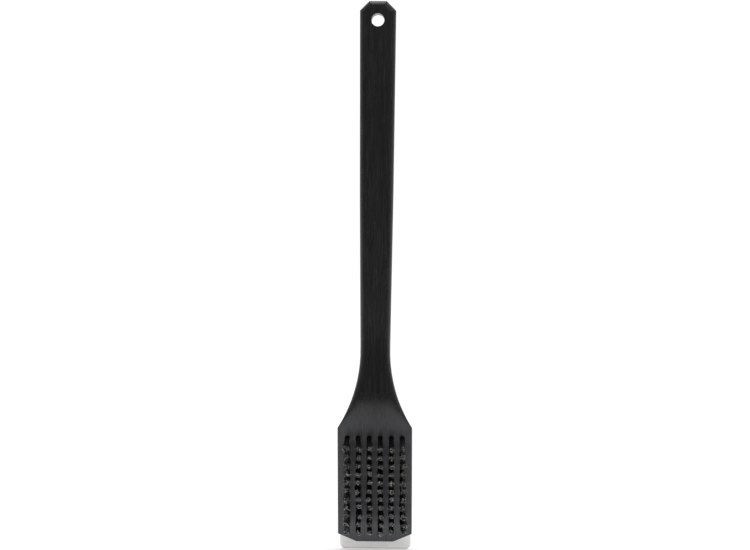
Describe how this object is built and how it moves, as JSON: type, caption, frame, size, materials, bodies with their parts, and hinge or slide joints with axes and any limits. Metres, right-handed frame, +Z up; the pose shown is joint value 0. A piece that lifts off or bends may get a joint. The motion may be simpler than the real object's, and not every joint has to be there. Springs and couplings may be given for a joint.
{
  "type": "grill cleaning brush",
  "caption": "Long-handled wooden grill brush with a tilted head, rows of steel wire tufts and a flat steel scraper behind the nose.",
  "frame": {"origin": "centre of the hanging hole, halfway through the thickness of the handle", "axes": "+Z up along the handle towards its end, +Y through the hanging hole towards the back, -Y the bristle side, +X to the right seen from the bristle side"},
  "size_m": [0.063, 0.0743, 0.4667],
  "materials": {
    "stained_wood": "satin black stain, fine open grain",
    "bristle_wire": "crimped round steel wire",
    "anchor_steel": "plain rolled strip",
    "scraper_steel": "brushed stainless sheet",
    "screw_steel": "zinc plated"
  },
  "bodies": {
    "root": {"wooden_body": "stained_wood", "bristle_row_01": "bristle_wire", "bristle_row_02": "bristle_wire", "bristle_row_03": "bristle_wire", "bristle_row_04": "bristle_wire", "bristle_row_05": "bristle_wire", "bristle_row_06": "bristle_wire", "bristle_row_07": "bristle_wire", "bristle_row_08": "bristle_wire", "bristle_row_09": "bristle_wire", "bristle_row_10": "bristle_wire", "bristle_row_11": "bristle_wire", "anchor_row_01": "anchor_steel", "anchor_row_02": "anchor_steel", "anchor_row_03": "anchor_steel", "anchor_row_04": "anchor_steel", "anchor_row_05": "anchor_steel", "anchor_row_06": "anchor_steel", "anchor_row_07": "anchor_steel", "anchor_row_08": "anchor_steel", "anchor_row_09": "anchor_steel", "anchor_row_10": "anchor_steel", "anchor_row_11": "anchor_steel", "scraper_plate": "scraper_steel", "scraper_screw_left": "screw_steel", "scraper_screw_right": "screw_steel"}
  },
  "joints": []
}
